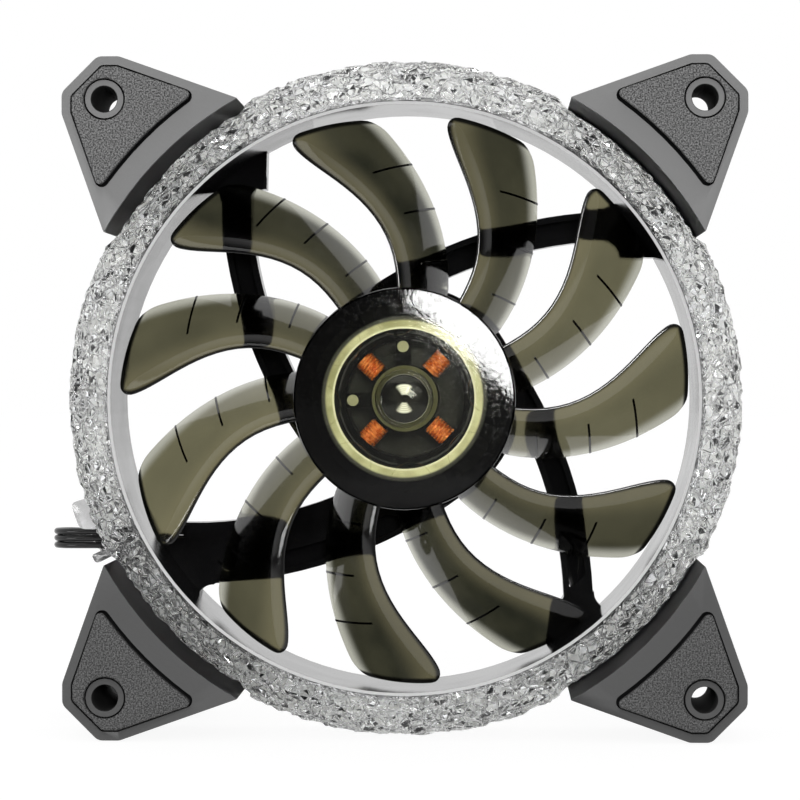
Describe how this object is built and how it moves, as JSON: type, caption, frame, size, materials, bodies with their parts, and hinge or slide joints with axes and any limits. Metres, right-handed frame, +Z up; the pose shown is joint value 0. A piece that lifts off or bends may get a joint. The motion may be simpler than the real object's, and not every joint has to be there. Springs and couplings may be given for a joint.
{
  "type": "case fan",
  "caption": "Square axial case fan with a clear faceted ring round its duct, a smoked hub and blades, corner pads with screw holes and a short lead.",
  "frame": {"origin": "middle of the fan's width and depth, on the surface that its two lower corners stand on", "axes": "+Z up, front towards -Y, the rotor's axis along Y through the middle of the frame"},
  "size_m": [0.1251, 0.0569, 0.12],
  "materials": {
    "black_plastic": "gloss duct and satin corners",
    "clear_plastic": "clear, broken facets",
    "board_white": "matte",
    "light": "gloss",
    "label": "satin, bare",
    "pad_rubber": "grained",
    "bearing_brass": "satin",
    "pale_plastic": "matte",
    "lamination": "satin",
    "copper": "enamelled wire",
    "board_green": "satin",
    "black_matte": "matte",
    "wire_black": "satin sleeve",
    "smoked_plastic": "smoked, clear gloss",
    "yoke_steel": "yellow passivated",
    "magnet": "matte",
    "steel": "polished",
    "terminal_brass": "satin"
  },
  "bodies": {
    "frame_body": {"frame": "black_plastic", "crystal_ring": "clear_plastic", "led_board": "board_white", "leds": "light", "lead_guide": "clear_plastic", "rear_label": "label", "pad_front_1": "pad_rubber", "pad_front_2": "pad_rubber", "pad_front_3": "pad_rubber", "pad_front_4": "pad_rubber", "pad_rear_1": "pad_rubber", "pad_rear_2": "pad_rubber", "pad_rear_3": "pad_rubber", "pad_rear_4": "pad_rubber", "bearing_tube": "bearing_brass", "sleeve_bearing": "bearing_brass", "thrust_cap": "pale_plastic", "stator_core": "lamination", "bobbin_front": "pale_plastic", "bobbin_rear": "pale_plastic", "coil_1": "copper", "coil_2": "copper", "coil_3": "copper", "coil_4": "copper", "driver_board": "board_green", "hall_sensor": "black_matte", "board_parts": "black_matte", "inner_leads": "wire_black", "wire_1": "wire_black", "wire_2": "wire_black", "wire_3": "wire_black", "wire_coil_1": "wire_black", "wire_coil_2": "wire_black", "wire_coil_3": "wire_black", "lead_connector": "black_matte", "connector_terminals": "terminal_brass", "coil_tie": "black_matte"},
    "rotor": {"impeller": "smoked_plastic", "yoke": "yoke_steel", "magnet_ring": "magnet", "shaft_insert": "steel", "shaft": "steel", "retaining_clip": "pale_plastic"}
  },
  "joints": [
    {"name": "rotor_spin", "type": "hinge", "parent": "frame_body", "child": "rotor", "pos_m": [0, 0, 0.06], "axis": [0, -1, 0], "continuous": true}
  ]
}
